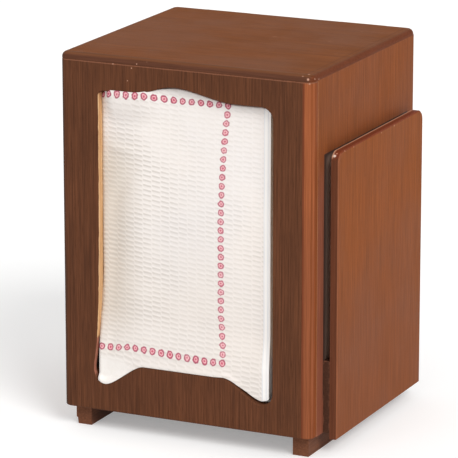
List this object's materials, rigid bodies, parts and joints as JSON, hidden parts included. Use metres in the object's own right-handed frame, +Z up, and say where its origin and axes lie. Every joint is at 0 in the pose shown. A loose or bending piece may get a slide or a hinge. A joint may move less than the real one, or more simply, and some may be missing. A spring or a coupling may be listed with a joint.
{
  "type": "napkin holder",
  "caption": "Table napkin holder: stained wooden case on runners with a window in front, hinged lid, spring-loaded pusher behind the napkins and a card pocket on one side.",
  "frame": {"origin": "on the table, under the middle of the holder's overall box", "axes": "+Z up, -Y out of the dispensing window, +X towards the card pocket"},
  "size_m": [0.1054, 0.0974, 0.1412],
  "materials": {
    "stained_plywood": "satin walnut-mahogany stain over fine veneer",
    "plain_plywood": "unstained, sanded plywood",
    "brass": "rolled brass, slightly dulled",
    "spring_steel": "bright drawn wire",
    "zinc_steel": "zinc plated screws",
    "napkin_paper": "embossed white tissue with a printed ring border"
  },
  "bodies": {
    "case": {"front_panel": "stained_plywood", "left_wall": "stained_plywood", "right_wall": "stained_plywood", "rear_wall": "stained_plywood", "base_board": "stained_plywood", "left_runner": "stained_plywood", "right_runner": "stained_plywood", "runner_screws": "zinc_steel", "card_plate": "stained_plywood", "card_pocket_spacer": "stained_plywood", "napkin_stack": "napkin_paper", "front_napkin": "napkin_paper", "pusher_spring": "spring_steel", "rear_staples": "zinc_steel", "left_hinge_fixed_leaf": "brass", "right_hinge_fixed_leaf": "brass", "left_hinge_pin": "brass", "right_hinge_pin": "brass", "hinge_wall_screws": "brass"},
    "lid": {"top_lid": "stained_plywood", "left_hinge_lid_leaf": "brass", "right_hinge_lid_leaf": "brass", "hinge_lid_screws": "brass"},
    "pusher": {"pusher_plate": "plain_plywood", "pusher_foot": "plain_plywood", "pusher_staples": "zinc_steel"}
  },
  "joints": [
    {"name": "lid_hinge", "type": "hinge", "parent": "case", "child": "lid", "pos_m": [-0.00275, 0.04715, 0.1388], "axis": [-1, 0, 0], "range_deg": [0, 250]},
    {"name": "pusher_slide", "type": "slide", "parent": "case", "child": "pusher", "axis": [0, 1, 0], "range_m": [-0.054, 0.0125], "stiffness_N_per_m": 45, "deforming": ["pusher_spring", "napkin_stack"]}
  ]
}
